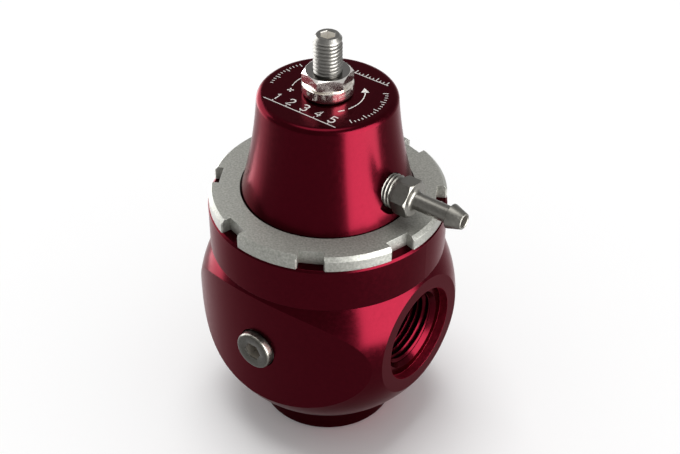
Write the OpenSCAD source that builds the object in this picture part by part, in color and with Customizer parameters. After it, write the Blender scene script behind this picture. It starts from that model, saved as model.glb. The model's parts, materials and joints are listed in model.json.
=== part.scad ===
// Bypass fuel pressure regulator with a ball-shaped body, conical bonnet and castellated lock ring.
// Millimetres, +Z up, origin at the centre of the foot's bottom face, side ports along X.

/* [Body] */
// Radius of the ball
ball_r = 38; // [30:0.5:46]
// Height of the ball's centre above the foot's bottom face
ball_z = 39.4; // [34:0.1:48]
// Distance of the front and back faces from the axis
face_d = 33.1; // [28:0.1:37]
// Radius of the curved front and back faces
face_r = 47.6; // [40:0.1:60]
// Distance of each port face from the axis
port_d = 33.2; // [28:0.1:37]
// Radius of the collar
collar_r = 33.8; // [31:0.1:40]
// Height of the collar's lower edge above the ball's centre
collar_low = 20.8; // [16:0.1:24]
// Height of the collar
collar_h = 13.4; // [11:0.1:18]
// Chamfer on the collar's upper edge
collar_chamfer = 0.6; // [0.3:0.1:1.5]
// Radius of the foot
foot_r = 20.2; // [16:0.1:22]
// Chamfer on the foot's lower edge
foot_chamfer = 0.5; // [0.2:0.1:1.5]
// Radius of the inner cavity
cavity_r = 14; // [12:0.1:17]
// Height of the cavity floor above the foot's bottom face
cavity_floor = 26; // [22:0.5:29]
// Radius of the space below the diaphragm
chamber_r = 24; // [20:0.5:26]
// Depth of the space below the diaphragm
chamber_h = 9; // [6:0.5:11]
// Depth of the diaphragm ledge below the collar's top
ledge_depth = 7.8; // [7:0.1:9]
// Radius of the thread that takes the lock ring
ring_thread_r = 29.6; // [28:0.1:31]

/* [Side ports] */
// Major thread radius of the side ports and the return port
port_r = 11.11; // [8:0.01:13]
// Radius of the spot face round each side port
port_spot_r = 14.4; // [12:0.1:16]
// Depth of the spot face
port_spot_h = 2.6; // [1:0.1:4]
// Radius of the seal chamfer at its wide end
port_seal_r = 12.1; // [11.5:0.1:13.5]
// Depth of the seal chamfer
port_seal_h = 1.3; // [1:0.1:4]
// Depth of the thread behind the spot face
port_thread_h = 13; // [10:0.5:15]
// Radius of the drilling from the thread into the cavity
port_drill_r = 8; // [5:0.1:10]
// Depth of the return port's thread
return_thread_h = 15; // [11:0.5:17]

/* [Gauge port and bracket holes] */
// Thread radius of the gauge port
gauge_r = 5.75; // [4:0.05:6.5]
// Chamfer at the gauge port's mouth
gauge_mouth = 0.6; // [0.2:0.1:1]
// Depth of the gauge port's thread
gauge_h = 11; // [8:0.5:14]
// Radius of the drilling from the gauge port into the cavity
gauge_drill_r = 3; // [1.5:0.1:4]
// Height of the plug's face in front of the body
gauge_plug_out = 2.1; // [1:0.1:4]
// Length of the plug
gauge_plug_l = 9; // [6:0.1:11]
// Width across flats of the plug's socket
gauge_socket_af = 4.8; // [3:0.1:6]
// Depth of the plug's socket
gauge_socket_h = 4.5; // [2:0.1:6]
// Bevel round the plug's face
gauge_bevel = 0.8; // [0.3:0.1:1.2]
// Distance of the flat bracket pad from the axis
pad_d = 31.2; // [28:0.1:32.5]
// Spacing of the bracket holes
bracket_pitch = 19; // [14:0.5:22]
// Major thread radius of the bracket holes
bracket_r = 2.5; // [2:0.1:3]
// Depth of the bracket holes
bracket_h = 10; // [7:0.5:12]

/* [Lock ring] */
// Overhang of the ring's flange past the collar
ring_over = -0.25; // [-0.5:0.05:0.8]
// Thickness of the ring's flange
ring_t = 4.1; // [3:0.1:6]
// Chamfer on the flange's upper edge
ring_chamfer = 1.05; // [0.4:0.05:1.6]
// Number of spanner notches
notch_n = 8; // [6:1:12]
// Width of a spanner notch
notch_w = 7.2; // [5:0.1:9]
// Depth of a spanner notch
notch_d = 3.1; // [2.5:0.1:3.6]
// Broken corner at a notch's mouth
notch_break = 0.4; // [0.1:0.05:0.8]
// Turn of the first notch from the front
notch_turn = 29.5; // [0:0.5:45]

/* [Bonnet] */
// Radius of the bonnet where it leaves the ring
bonnet_r = 24.3; // [22:0.1:26]
// Radius of the flat top face
bonnet_top_r = 17.3; // [16.5:0.1:20]
// Rounding of the top edge
bonnet_round = 1.9; // [0.8:0.1:2.5]
// Height of the bonnet above the ring
bonnet_h = 30.4; // [29:0.1:36]
// Depth of the flare in the bonnet's side
bonnet_flare = 0.7; // [0.3:0.05:1.2]
// Thickness of the clamped flange
bonnet_flange_t = 3.6; // [2.5:0.1:4.5]
// Radius of the spring space
spring_space_r = 16; // [15.6:0.1:16.6]
// Thickness of the bonnet's top wall
bonnet_top_t = 9; // [8:0.1:10]

/* [Adjuster] */
// Major thread radius of the adjuster
stud_r = 3.9; // [3:0.05:5]
// Height of the stud's end above the bonnet's top
stud_out = 17.4; // [14:0.1:20]
// Chamfer on the stud's ends
stud_chamfer = 0.8; // [0.3:0.1:1.2]
// Width across flats of the stud's socket
stud_socket_af = 3.7; // [2.5:0.1:4.6]
// Depth of the stud's socket
stud_socket_h = 5; // [3:0.1:7]
// Turn of the socket's first corner from the front
stud_socket_turn = 37; // [0:1:60]
// Width across flats of the lock nut
nut_af = 12.1; // [11:0.1:16]
// Thickness of the lock nut
nut_t = 3.55; // [3:0.05:6]
// Height of the chamfer on the lock nut's corners
nut_chamfer = 0.7; // [0.3:0.05:1.2]
// Turn of the lock nut's first corner from the front
nut_turn = 13; // [0:1:60]
// Radius of the sealing washer
washer_r = 7; // [6.8:0.1:9]
// Thickness of the sealing washer
washer_t = 3.3; // [1.4:0.1:4]
// Rounding of the sealing washer's lower edge
washer_round = 1.1; // [0.3:0.1:1.2]
// Section radius of the stud's seal
stud_seal_r = 0.75; // [0.5:0.05:0.9]
// Radius of the thrust ball
ball_bearing_r = 2; // [1.5:0.1:2.2]
// Depth of the thrust ball's dimples
bearing_sink = 0.9; // [0.5:0.1:1.2]
// Room above the upper spring seat at the set position
seat_room = 2.4; // [2.2:0.1:3]

/* [Spring] */
// Outer radius of the spring
spring_r = 13.6; // [12:0.1:14]
// Diameter of the spring wire
wire_d = 3; // [2.4:0.1:3.4]
// Turns of the spring
spring_turns = 6; // [5:0.5:6.5]
// Share of the wire's thickness left under its middle at the ground ends
wire_ground = 0.3; // [0.25:0.05:0.5]
// Rise of each closed end turn as a share of the wire's thickness
wire_closed = 0.75; // [0.6:0.05:0.9]
// Thickness of the upper spring seat
spring_seat_t = 2.6; // [2:0.1:3]
// Height of the spring seat's pilot inside the spring
spring_pilot_h = 2; // [1:0.1:3]
// Radial clearance of the pilot inside the spring
spring_pilot_fit = 0.6; // [0.3:0.1:1]
// Radial clearance of the spring in the upper plate's rim
spring_rim_fit = 0.3; // [0.2:0.1:0.6]

/* [Diaphragm and valve] */
// Thickness of the diaphragm
diaphragm_t = 1.2; // [0.8:0.1:1.6]
// Thickness of the upper plate
upper_plate_t = 1.8; // [1.2:0.1:2.4]
// Radius of the upper plate
upper_plate_r = 15; // [14.6:0.1:15.3]
// Thickness of the lower plate
lower_plate_t = 2.4; // [1.6:0.1:3]
// Radius of the lower plate
lower_plate_r = 15; // [13:0.1:18]
// Radius of the stem's thread
stem_r = 3; // [2:0.1:3.5]
// Radius of the stem below the plates
stem_body_r = 4.6; // [4:0.1:6]
// Radius of the valve holder
holder_r = 7.6; // [7:0.1:8.5]
// Height of the valve holder
holder_h = 4.4; // [3.6:0.1:6]
// Radius of the valve disc
disc_r = 6.2; // [5.8:0.1:6.6]
// Thickness of the valve disc
disc_t = 2.2; // [1.6:0.1:2.6]
// Height of the disc's face below the holder
disc_out = 0.8; // [0.4:0.1:1.2]
// Thickness of the stem nut
stem_nut_t = 3.4; // [2.4:0.1:4]
// Width across flats of the stem nut
stem_nut_af = 10; // [8:0.1:12]
// Height of the chamfer on the stem nut's corners
stem_nut_chamfer = 0.7; // [0.3:0.1:1]
// Length of the stem's end above its nut
stem_end = 1; // [0.5:0.1:1.5]

/* [Valve seat] */
// Radius of the seat's shank
seat_r = 7; // [6:0.1:8]
// Radius of the seat's bore
seat_bore_r = 4.4; // [3:0.1:4.8]
// Length of the seat's shank
seat_shank_h = 9; // [6:0.1:10]
// Width across flats of the seat's hexagon
seat_af = 18; // [16.6:0.1:20]
// Height of the seat's hexagon
seat_hex_h = 4; // [3:0.1:6]
// Radius of the seat's nose
seat_nose_r = 5.6; // [5.2:0.1:6]
// Height of the seat's nose above its hexagon
seat_nose_h = 6; // [4:0.1:8]
// Section radius of the seat's seal
seat_seal_r = 0.7; // [0.5:0.05:0.8]

/* [Hose fitting] */
// Height of the fitting's axis above the ring
barb_up = 7.75; // [6:0.05:9]
// Distance of the bonnet's spot face from the axis
barb_flat_d = 22.2; // [20.5:0.1:22.6]
// Radius of the spot face
barb_spot_r = 6.4; // [5.8:0.1:7]
// Thread radius of the fitting
barb_thread_r = 4.76; // [4.5:0.01:5.5]
// Length of thread outside the spot face
barb_thread_out = 2.3; // [2:0.1:4]
// Length of thread inside the bonnet
barb_thread_in = 4.2; // [3:0.1:4.4]
// Width across flats of the fitting's hexagon
barb_af = 9.6; // [9.5:0.1:13]
// Length of the fitting's hexagon
barb_hex_l = 4.8; // [4:0.1:7]
// Turn of the hexagon's first corner from the top
barb_hex_turn = 20; // [0:1:60]
// Height of the chamfer on the hexagon's corners
barb_chamfer = 0.5; // [0.2:0.1:1]
// Radius of the fitting's tube
barb_tube_r = 2.4; // [1.8:0.05:2.6]
// Fillet between the hexagon and the tube
barb_fillet = 1; // [0.3:0.1:1.6]
// Length of the fitting's tube
barb_tube_l = 11.3; // [8:0.1:13]
// Largest radius of the barb
barb_r = 3.45; // [3:0.05:4]
// Length of the barb
barb_l = 4.3; // [4:0.1:7]
// Radius of the barb's tip
barb_tip_r = 2.3; // [2.1:0.05:2.6]
// Bore radius of the fitting
barb_bore_r = 1.7; // [0.8:0.05:1.8]

/* [Fits] */
// Radial clearance of a thread
thread_fit = 0.05; // [0.02:0.01:0.1]
// Radial clearance between the ring and the bonnet
ring_fit = 0.4; // [0.2:0.05:0.6]
// Radial clearance of clamped and seated pieces
seat_fit = 0.1; // [0.02:0.01:0.2]

/* [Hidden] */
$fn = 96;
eps = 0.01;
collar_z0 = ball_z + collar_low;
collar_z1 = collar_z0 + collar_h;
ledge_z = collar_z1 - ledge_depth;
chamber_z = ledge_z - chamber_h;
diaphragm_z1 = ledge_z + diaphragm_t;
flange_z1 = diaphragm_z1 + bonnet_flange_t;
clamp_r = ring_thread_r - thread_fit - seat_fit;
ring_r = collar_r + ring_over;
notch_edge = sqrt(ring_r * ring_r - notch_w * notch_w / 4);
ring_z1 = collar_z1 + ring_t;
bonnet_z1 = ring_z1 + bonnet_h;
spring_space_z1 = bonnet_z1 - bonnet_top_t;
side_top = [bonnet_top_r + bonnet_round, bonnet_z1 - bonnet_round];
side_low = [bonnet_r, ring_z1];
side_v = side_top - side_low;
side_l = norm(side_v);
side_n = [side_v[1], -side_v[0]] / side_l;
flare_r = side_l * side_l / (8 * bonnet_flare) + bonnet_flare / 2;
flare_c = (side_top + side_low) / 2 + side_n * (flare_r - bonnet_flare);
washer_z1 = bonnet_z1 + washer_t;
nut_z1 = washer_z1 + nut_t;
stud_z1 = bonnet_z1 + stud_out;
upper_plate_z1 = diaphragm_z1 + upper_plate_t;
spring_z0 = upper_plate_z1;
seat_top_z = spring_space_z1 - seat_room;
spring_z1 = seat_top_z - spring_seat_t;
bearing_z = seat_top_z - bearing_sink + ball_bearing_r;
stud_z0 = bearing_z + ball_bearing_r - bearing_sink;
seat_z1 = cavity_floor + seat_hex_h + seat_nose_h;
holder_z0 = seat_z1 + disc_out;
holder_z1 = holder_z0 + holder_h;
lower_plate_z0 = ledge_z - lower_plate_t;
stem_nut_z1 = upper_plate_z1 + stem_nut_t;
stem_z1 = stem_nut_z1 + stem_end;
seat_groove_r = seat_r + 2 * seat_seal_r + seat_fit;
stud_groove_r = stud_r + 2 * stud_seal_r + thread_fit + seat_fit;
barb_z = ring_z1 + barb_up;
barb_x0 = barb_flat_d - barb_thread_in;
barb_hex_x = barb_flat_d + barb_thread_out;
barb_tube_x = barb_hex_x + barb_hex_l;
barb_x = barb_tube_x + barb_tube_l;
barb_tip_x = barb_x + barb_l;
gauge_y0 = -face_d + gauge_plug_l - gauge_plug_out;
hex_k = 1 / cos(30) / 2;
hex_land = 0.1;
spring_steps = 24;
wire_sides = 10;

// Cylinder along +X from x0 to x1
module rod_x(r, x0, x1) {
  translate([x0, 0, 0]) rotate([0, 90, 0]) cylinder(r = r, h = x1 - x0);
}

// Hexagon prism with chamfered corners, standing on the XY plane
module chamfered_hex(af, h, ch) {
  intersection() {
    cylinder(r = af * hex_k, h = h, $fn = 6);
    rotate_extrude() polygon([[0, 0], [af / 2 - hex_land, 0], [af * hex_k, ch], [af * hex_k, h - ch],
      [af / 2 - hex_land, h], [0, h]]);
  }
}

// One side port seen from the axis toward +X
module side_port() {
  translate([0, 0, ball_z]) {
    rod_x(port_spot_r, port_d - port_spot_h, port_d + 8);
    translate([port_d - port_spot_h - port_seal_h, 0, 0]) rotate([0, 90, 0])
      cylinder(r1 = port_r, r2 = port_seal_r, h = port_seal_h + eps);
    rod_x(port_r, port_d - port_spot_h - port_thread_h, port_d);
    rod_x(port_drill_r, 0, port_d);
  }
}

// Ball with curved front and back faces and flat port faces
module ball_form() {
  intersection() {
    translate([0, 0, ball_z]) sphere(r = ball_r, $fn = 128);
    translate([0, face_r - face_d, 0]) cylinder(r = face_r, h = ball_z * 3);
    translate([0, face_d - face_r, 0]) cylinder(r = face_r, h = ball_z * 3);
    translate([-port_d, -ball_r * 2, -ball_r]) cube([port_d * 2, ball_r * 2 + pad_d, ball_r * 4]);
  }
}

module body() color([0.45, 0.03, 0.06]) difference() {
  union() {
    ball_form();
    rotate_extrude() polygon([[0, 0], [foot_r - foot_chamfer, 0], [foot_r, foot_chamfer],
      [foot_r, ball_z / 2], [0, ball_z / 2]]);
    rotate_extrude() polygon([[0, collar_z0], [collar_r, collar_z0], [collar_r, collar_z1 - collar_chamfer],
      [collar_r - collar_chamfer, collar_z1], [0, collar_z1]]);
  }
  translate([0, 0, ledge_z]) cylinder(r = ring_thread_r, h = ball_r * 2);
  translate([0, 0, chamber_z]) cylinder(r = chamber_r, h = chamber_h + 1);
  translate([0, 0, cavity_floor]) cylinder(r = cavity_r, h = ledge_z - cavity_floor);
  translate([0, 0, cavity_floor - seat_seal_r * 2]) cylinder(r = seat_groove_r, h = seat_seal_r * 2 + 1);
  translate([0, 0, return_thread_h - eps])
    cylinder(r = seat_r + thread_fit, h = cavity_floor - return_thread_h);
  translate([0, 0, -1]) cylinder(r = port_r, h = return_thread_h + 1);
  translate([0, 0, -eps]) cylinder(r1 = port_seal_r, r2 = port_r, h = port_seal_h);
  side_port();
  mirror([1, 0, 0]) side_port();
  translate([0, -face_d + gauge_h, ball_z]) rotate([90, 0, 0])
    cylinder(r = gauge_r + thread_fit, h = gauge_h + 1);
  translate([0, -face_d + gauge_mouth, ball_z]) rotate([90, 0, 0])
    cylinder(r1 = gauge_r + thread_fit, r2 = gauge_r + thread_fit + gauge_mouth * 2, h = gauge_mouth * 2);
  translate([0, 0, ball_z]) rotate([90, 0, 0]) cylinder(r = gauge_drill_r, h = face_d);
  for (s = [-1, 1])
    translate([s * bracket_pitch / 2, pad_d - bracket_h, ball_z]) rotate([-90, 0, 0])
      cylinder(r = bracket_r, h = bracket_h + 1);
}

module seat() color([0.78, 0.68, 0.4]) difference() {
  union() {
    translate([0, 0, cavity_floor - seat_shank_h]) cylinder(r = seat_r, h = seat_shank_h + eps);
    translate([0, 0, cavity_floor]) cylinder(r = seat_af * hex_k, h = seat_hex_h, $fn = 6);
    translate([0, 0, cavity_floor]) cylinder(r = seat_nose_r, h = seat_hex_h + seat_nose_h);
  }
  translate([0, 0, cavity_floor - seat_shank_h - 1]) cylinder(r = seat_bore_r, h = seat_shank_h + seat_z1);
}

module seat_o_ring() color([0.06, 0.06, 0.06])
  translate([0, 0, cavity_floor - seat_seal_r]) rotate_extrude()
    translate([seat_r + seat_seal_r + seat_fit / 2, 0]) circle(r = seat_seal_r, $fn = 32);

module valve_disc() color([0.1, 0.1, 0.1])
  translate([0, 0, seat_z1]) cylinder(r = disc_r, h = disc_t);

module valve_stem() color([0.7, 0.7, 0.7]) difference() {
  union() {
    translate([0, 0, holder_z0]) cylinder(r = holder_r, h = holder_h);
    translate([0, 0, holder_z0]) cylinder(r = stem_body_r, h = lower_plate_z0 - holder_z0);
    translate([0, 0, holder_z0 + holder_h / 2])
      cylinder(r = stem_r, h = stem_z1 - holder_z0 - holder_h / 2);
  }
  translate([0, 0, seat_z1 - 1]) cylinder(r = disc_r + seat_fit / 2, h = disc_t + 1);
}

module lower_plate() color([0.72, 0.72, 0.74]) difference() {
  translate([0, 0, lower_plate_z0]) cylinder(r = lower_plate_r, h = lower_plate_t);
  translate([0, 0, lower_plate_z0 - 1]) cylinder(r = stem_r + thread_fit, h = lower_plate_t + 2);
}

module diaphragm() color([0.12, 0.11, 0.1]) difference() {
  translate([0, 0, ledge_z]) cylinder(r = clamp_r, h = diaphragm_t);
  translate([0, 0, ledge_z - 1]) cylinder(r = stem_r + thread_fit, h = diaphragm_t + 2);
}

module upper_plate() color([0.72, 0.72, 0.74]) difference() {
  translate([0, 0, diaphragm_z1]) cylinder(r = upper_plate_r, h = upper_plate_t * 2);
  translate([0, 0, upper_plate_z1]) cylinder(r = spring_r + spring_rim_fit, h = upper_plate_t * 2);
  translate([0, 0, diaphragm_z1 - 1]) cylinder(r = stem_r + thread_fit, h = upper_plate_t + 2);
}

module stem_nut() color([0.75, 0.75, 0.75]) difference() {
  translate([0, 0, upper_plate_z1]) chamfered_hex(stem_nut_af, stem_nut_t, stem_nut_chamfer);
  translate([0, 0, upper_plate_z1 - 1]) cylinder(r = stem_r + thread_fit, h = stem_nut_t + 2);
}

// Height of the wire's centre at a share t of the spring, with closed end turns
function coil_z(t) = let(a = t * spring_turns, b = spring_turns - 2, low = spring_z0 + wire_d * wire_ground,
  high = spring_z1 - wire_d * wire_ground, dead = wire_d * wire_closed)
  a < 1 ? low + dead * a :
  a > 1 + b ? high - dead * (spring_turns - a) :
  low + dead + (high - low - 2 * dead) * (a - 1) / b;

module main_spring() color([0.55, 0.56, 0.58]) {
  n = floor(spring_turns * spring_steps);
  mid_r = spring_r - wire_d / 2;
  pts = [for (i = [0:n]) let(t = i / n, a = t * spring_turns * 360, z = coil_z(t))
    for (j = [0:wire_sides - 1]) let(w = (j + 0.5) * 360 / wire_sides, r = mid_r + wire_d / 2 * cos(w))
      [r * cos(a), r * sin(a), min(spring_z1, max(spring_z0, z + wire_d / 2 * sin(w)))]];
  sides = [for (i = [0:n - 1]) for (j = [0:wire_sides - 1]) let(k = (j + 1) % wire_sides)
    for (f = [0, 1]) f == 0 ?
      [i * wire_sides + j, (i + 1) * wire_sides + k, i * wire_sides + k] :
      [i * wire_sides + j, (i + 1) * wire_sides + j, (i + 1) * wire_sides + k]];
  start = [for (j = [1:wire_sides - 2]) [0, j, j + 1]];
  end = [for (j = [1:wire_sides - 2]) [n * wire_sides, n * wire_sides + j + 1, n * wire_sides + j]];
  polyhedron(points = pts, faces = concat(sides, start, end));
}

module spring_seat() color([0.7, 0.7, 0.72]) difference() {
  union() {
    translate([0, 0, spring_z1]) cylinder(r = upper_plate_r, h = spring_seat_t);
    translate([0, 0, spring_z1 - spring_pilot_h])
      cylinder(r = spring_r - wire_d - spring_pilot_fit, h = spring_pilot_h + eps);
  }
  translate([0, 0, bearing_z]) sphere(r = ball_bearing_r + thread_fit, $fn = 64);
}

module thrust_ball() color([0.8, 0.8, 0.82])
  translate([0, 0, bearing_z]) sphere(r = ball_bearing_r, $fn = 64);

module bonnet() color([0.45, 0.03, 0.06]) difference() {
  union() {
    rotate_extrude() polygon([[0, diaphragm_z1], [clamp_r, diaphragm_z1], [clamp_r, flange_z1],
      [bonnet_r, flange_z1], side_low, [0, ring_z1]]);
    rotate_extrude() difference() {
      polygon([[0, ring_z1 - eps], [bonnet_r, ring_z1 - eps], side_low, side_top, [0, side_top[1]]]);
      translate(flare_c) circle(r = flare_r, $fn = 400);
    }
    translate([0, 0, side_top[1] - eps]) rotate_extrude() intersection() {
      square([side_top[0], bonnet_round + eps]);
      union() {
        square([bonnet_top_r, bonnet_round + eps]);
        translate([bonnet_top_r, eps]) circle(r = bonnet_round, $fn = 48);
      }
    }
  }
  translate([0, 0, diaphragm_z1 - 1]) cylinder(r = spring_space_r, h = spring_space_z1 - diaphragm_z1 + 1);
  translate([0, 0, spring_space_z1 - 1]) cylinder(r = stud_r + thread_fit, h = bonnet_top_t + 2);
  translate([0, 0, bonnet_z1 - stud_seal_r * 2]) cylinder(r = stud_groove_r, h = stud_seal_r * 2 + 1);
  translate([0, 0, barb_z]) {
    rod_x(barb_spot_r, barb_flat_d, barb_flat_d + 10);
    rod_x(barb_thread_r + thread_fit, 0, barb_flat_d + 1);
  }
}

// Plan of a spanner notch on +X, with broken corners where it meets the rim
module notch_plan() {
  polygon([[ring_r - notch_d, -notch_w / 2], [notch_edge - notch_break, -notch_w / 2],
    [notch_edge + notch_break, -notch_w / 2 - notch_break * 2],
    [notch_edge + notch_break, notch_w / 2 + notch_break * 2],
    [notch_edge - notch_break, notch_w / 2], [ring_r - notch_d, notch_w / 2]]);
}

module lock_ring() color([0.62, 0.62, 0.6]) difference() {
  rotate_extrude() polygon([[bonnet_r + ring_fit, flange_z1], [ring_thread_r - thread_fit, flange_z1],
    [ring_thread_r - thread_fit, collar_z1], [ring_r, collar_z1], [ring_r, ring_z1 - ring_chamfer],
    [ring_r - ring_chamfer, ring_z1], [bonnet_r + ring_fit, ring_z1]]);
  for (i = [0:notch_n - 1])
    rotate([0, 0, -90 + notch_turn + i * 360 / notch_n])
      translate([0, 0, collar_z1 - eps]) linear_extrude(ring_t * 2) notch_plan();
}

module adjuster_screw() color([0.78, 0.78, 0.78]) difference() {
  rotate_extrude() polygon([[0, stud_z0], [stud_r - stud_chamfer, stud_z0],
    [stud_r, stud_z0 + stud_chamfer], [stud_r, stud_z1 - stud_chamfer],
    [stud_r - stud_chamfer, stud_z1], [0, stud_z1]]);
  translate([0, 0, stud_z1 - stud_socket_h]) rotate([0, 0, -90 + stud_socket_turn])
    cylinder(r = stud_socket_af * hex_k, h = stud_socket_h + 1, $fn = 6);
  translate([0, 0, bearing_z]) sphere(r = ball_bearing_r + thread_fit, $fn = 64);
}

module adjuster_o_ring() color([0.06, 0.06, 0.06])
  translate([0, 0, bonnet_z1 - stud_seal_r]) rotate_extrude()
    translate([stud_r + stud_seal_r + thread_fit, 0]) circle(r = stud_seal_r, $fn = 32);

module sealing_washer() color([0.75, 0.75, 0.74]) difference() {
  translate([0, 0, bonnet_z1]) rotate_extrude() union() {
    translate([0, washer_round]) square([washer_r, washer_t - washer_round]);
    square([washer_r - washer_round, washer_t]);
    translate([washer_r - washer_round, washer_round]) circle(r = washer_round, $fn = 48);
  }
  translate([0, 0, bonnet_z1 - 1]) cylinder(r = stud_r + seat_fit, h = washer_t + 2);
}

module lock_nut() color([0.78, 0.78, 0.78]) difference() {
  translate([0, 0, washer_z1]) rotate([0, 0, -90 + nut_turn]) chamfered_hex(nut_af, nut_t, nut_chamfer);
  translate([0, 0, washer_z1 - 1]) cylinder(r = stud_r + thread_fit, h = nut_t + 2);
}

module barb_fitting() color([0.42, 0.41, 0.38]) translate([0, 0, barb_z]) difference() {
  union() {
    rod_x(barb_thread_r, barb_x0, barb_hex_x + eps);
    translate([barb_hex_x, 0, 0]) rotate([barb_hex_turn, 0, 0]) rotate([0, 90, 0])
      chamfered_hex(barb_af, barb_hex_l, barb_chamfer);
    rod_x(barb_tube_r, barb_hex_x, barb_x + eps);
    translate([barb_tube_x, 0, 0]) rotate([0, 90, 0]) rotate_extrude() difference() {
      square([barb_tube_r + barb_fillet, barb_fillet]);
      translate([barb_tube_r + barb_fillet, barb_fillet]) circle(r = barb_fillet, $fn = 48);
    }
    translate([barb_x, 0, 0]) rotate([0, 90, 0]) cylinder(r1 = barb_r, r2 = barb_tip_r, h = barb_l);
  }
  rod_x(barb_bore_r, barb_x0 - 1, barb_tip_x + 1);
}

module gauge_plug() color([0.45, 0.44, 0.42])
  translate([0, gauge_y0, ball_z]) rotate([90, 0, 0]) difference() {
  union() {
    cylinder(r = gauge_r, h = gauge_plug_l - gauge_bevel);
    translate([0, 0, gauge_plug_l - gauge_bevel])
      cylinder(r1 = gauge_r, r2 = gauge_r - gauge_bevel, h = gauge_bevel);
  }
  translate([0, 0, gauge_plug_l - gauge_socket_h])
    cylinder(r = gauge_socket_af * hex_k, h = gauge_socket_h + 1, $fn = 6);
}

body();
seat();
seat_o_ring();
valve_disc();
valve_stem();
lower_plate();
diaphragm();
upper_plate();
stem_nut();
main_spring();
spring_seat();
thrust_ball();
bonnet();
lock_ring();
adjuster_screw();
adjuster_o_ring();
sealing_washer();
lock_nut();
barb_fitting();
gauge_plug();
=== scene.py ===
"""Looks of a fuel pressure regulator: anodised housing, threads, etched marks and a plain studio."""

import json
import math

import bmesh
import bpy
from mathutils import Matrix, Vector

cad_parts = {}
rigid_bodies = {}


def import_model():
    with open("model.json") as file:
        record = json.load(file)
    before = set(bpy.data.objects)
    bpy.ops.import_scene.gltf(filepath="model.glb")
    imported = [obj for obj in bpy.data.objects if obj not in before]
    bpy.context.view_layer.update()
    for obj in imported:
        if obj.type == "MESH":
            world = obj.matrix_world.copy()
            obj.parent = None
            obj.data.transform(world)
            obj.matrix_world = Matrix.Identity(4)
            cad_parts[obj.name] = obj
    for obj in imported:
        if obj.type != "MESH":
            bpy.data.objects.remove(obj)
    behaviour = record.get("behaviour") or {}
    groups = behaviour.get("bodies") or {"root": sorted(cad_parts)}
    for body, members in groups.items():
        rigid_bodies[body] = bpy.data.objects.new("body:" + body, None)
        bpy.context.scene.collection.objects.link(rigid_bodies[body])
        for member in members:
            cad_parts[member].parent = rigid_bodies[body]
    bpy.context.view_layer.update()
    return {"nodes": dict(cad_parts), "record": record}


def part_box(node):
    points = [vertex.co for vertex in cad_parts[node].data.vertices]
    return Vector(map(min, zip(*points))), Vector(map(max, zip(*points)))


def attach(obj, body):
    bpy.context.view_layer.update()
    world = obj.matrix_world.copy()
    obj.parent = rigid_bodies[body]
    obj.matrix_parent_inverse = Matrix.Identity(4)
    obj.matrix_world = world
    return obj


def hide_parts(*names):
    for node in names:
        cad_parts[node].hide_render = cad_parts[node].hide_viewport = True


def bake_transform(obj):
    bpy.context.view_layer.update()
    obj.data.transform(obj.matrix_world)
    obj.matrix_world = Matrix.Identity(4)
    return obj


for leftover in list(bpy.data.objects):
    bpy.data.objects.remove(leftover)
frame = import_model()

bl_info = {
    "name": "Fuel pressure regulator looks",
    "version": (1, 0, 0),
    "blender": (4, 5, 0),
    "location": "3D View > Sidebar > Regulator",
    "description": "Dresses the packed regulator with finishes, threads, marks and a studio",
    "category": "Object",
}

NODES = frame["nodes"]
MOUNTS = {mount["name"]: mount for mount in frame["record"]["mounts"]}
BODY_OF = {
    node: body for body, nodes in frame["record"]["behaviour"]["bodies"].items() for node in nodes
}
SLOT_OF = {part["node"]: part["material_slot"] for part in frame["record"]["subparts"]}
MM = 0.001
MICRON = 0.000001
INCH_IN_MM = 25.4
PHOTO_SIZE = (680, 454)
FINISHES = {}

# Patterns of the finishes
NOISE_LOW = 0.3
NOISE_HIGH = 0.7
GLOSS_CHANGE = 0.12
TURNED_SCALE = 9000
WALL_TOLERANCE = 0.06 * MM
# Facing limit of the painted shade on the nut's top
NUT_SHADE_FACING = 0.98
# Facing limit of the plug's front, beside the painted highlight on its rim
PLUG_HIGHLIGHT_FACING = 0.8
SHARP_DEGREES = 28

# A thread's ridge: half widths as shares of its pitch, how deep its root is sunk, and how it fades
ROOT_SHARE = 0.46
CREST_SHARE = 0.08
SUNK_SHARE = 0.08
THINNEST = 0.04
FADE_TURNS = 0.6
THREAD_STEPS = 64

# Steps of rounded shapes
CHAMFER_STEPS = 5
FILLET_STEPS = 6
ROUNDING_STEPS = 5
ARROW_STEPS = 20
COIL_STEPS = 48
WIRE_SIDES = 20

# Edges of the stud
STUD_MOUTH = 0.3 * MM
STUD_MOUTH_DEPTH = 0.2 * MM
STUD_SOCKET_POINT = 0.5 * MM
STUD_LEAD = 0.4 * MM
STUD_RUN_OUT = 0.3 * MM
LAND_INSET = 0.1 * MM
LAND_TAPER = 0.02 * MM
CHAMFER_SLOPE = 1.25

# Edges of the hose fitting
FITTING_LEAD = 0.4 * MM
FITTING_GAP = 0.1 * MM
NECK_GAP = 0.05 * MM
HEX_INSET = 0.1 * MM
BARB_EDGE = 0.12 * MM
BARB_LAND = 0.3 * MM
TIP_EDGE = 0.25 * MM
TIP_MIDDLE_INSET = 0.08 * MM
TIP_MIDDLE_DEPTH = 0.06 * MM
BORE_EDGE = 0.15 * MM

# Edges of the plug
PLUG_SOCKET_POINT = 0.6 * MM
SINK_INSET = 0.3 * MM
SINK_DEPTH = 0.35 * MM
PLUG_MOUTH_DEPTH = 0.6 * MM
PLUG_LEAD = 0.3 * MM
PLUG_GAP = 0.1 * MM

# Marks, in degrees: a turning arrow's first and last angle with its sign's angle, and each scale's ends
ARROWS = ((-20, 36, -32), (200, 144, 212))
HEAD_AHEAD = 12
HEAD_BEHIND = 1
SCALES = ((-30, 34), (156, 200))
TICK_DEGREES = 4
TICKS_TO_LONG = 4

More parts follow.
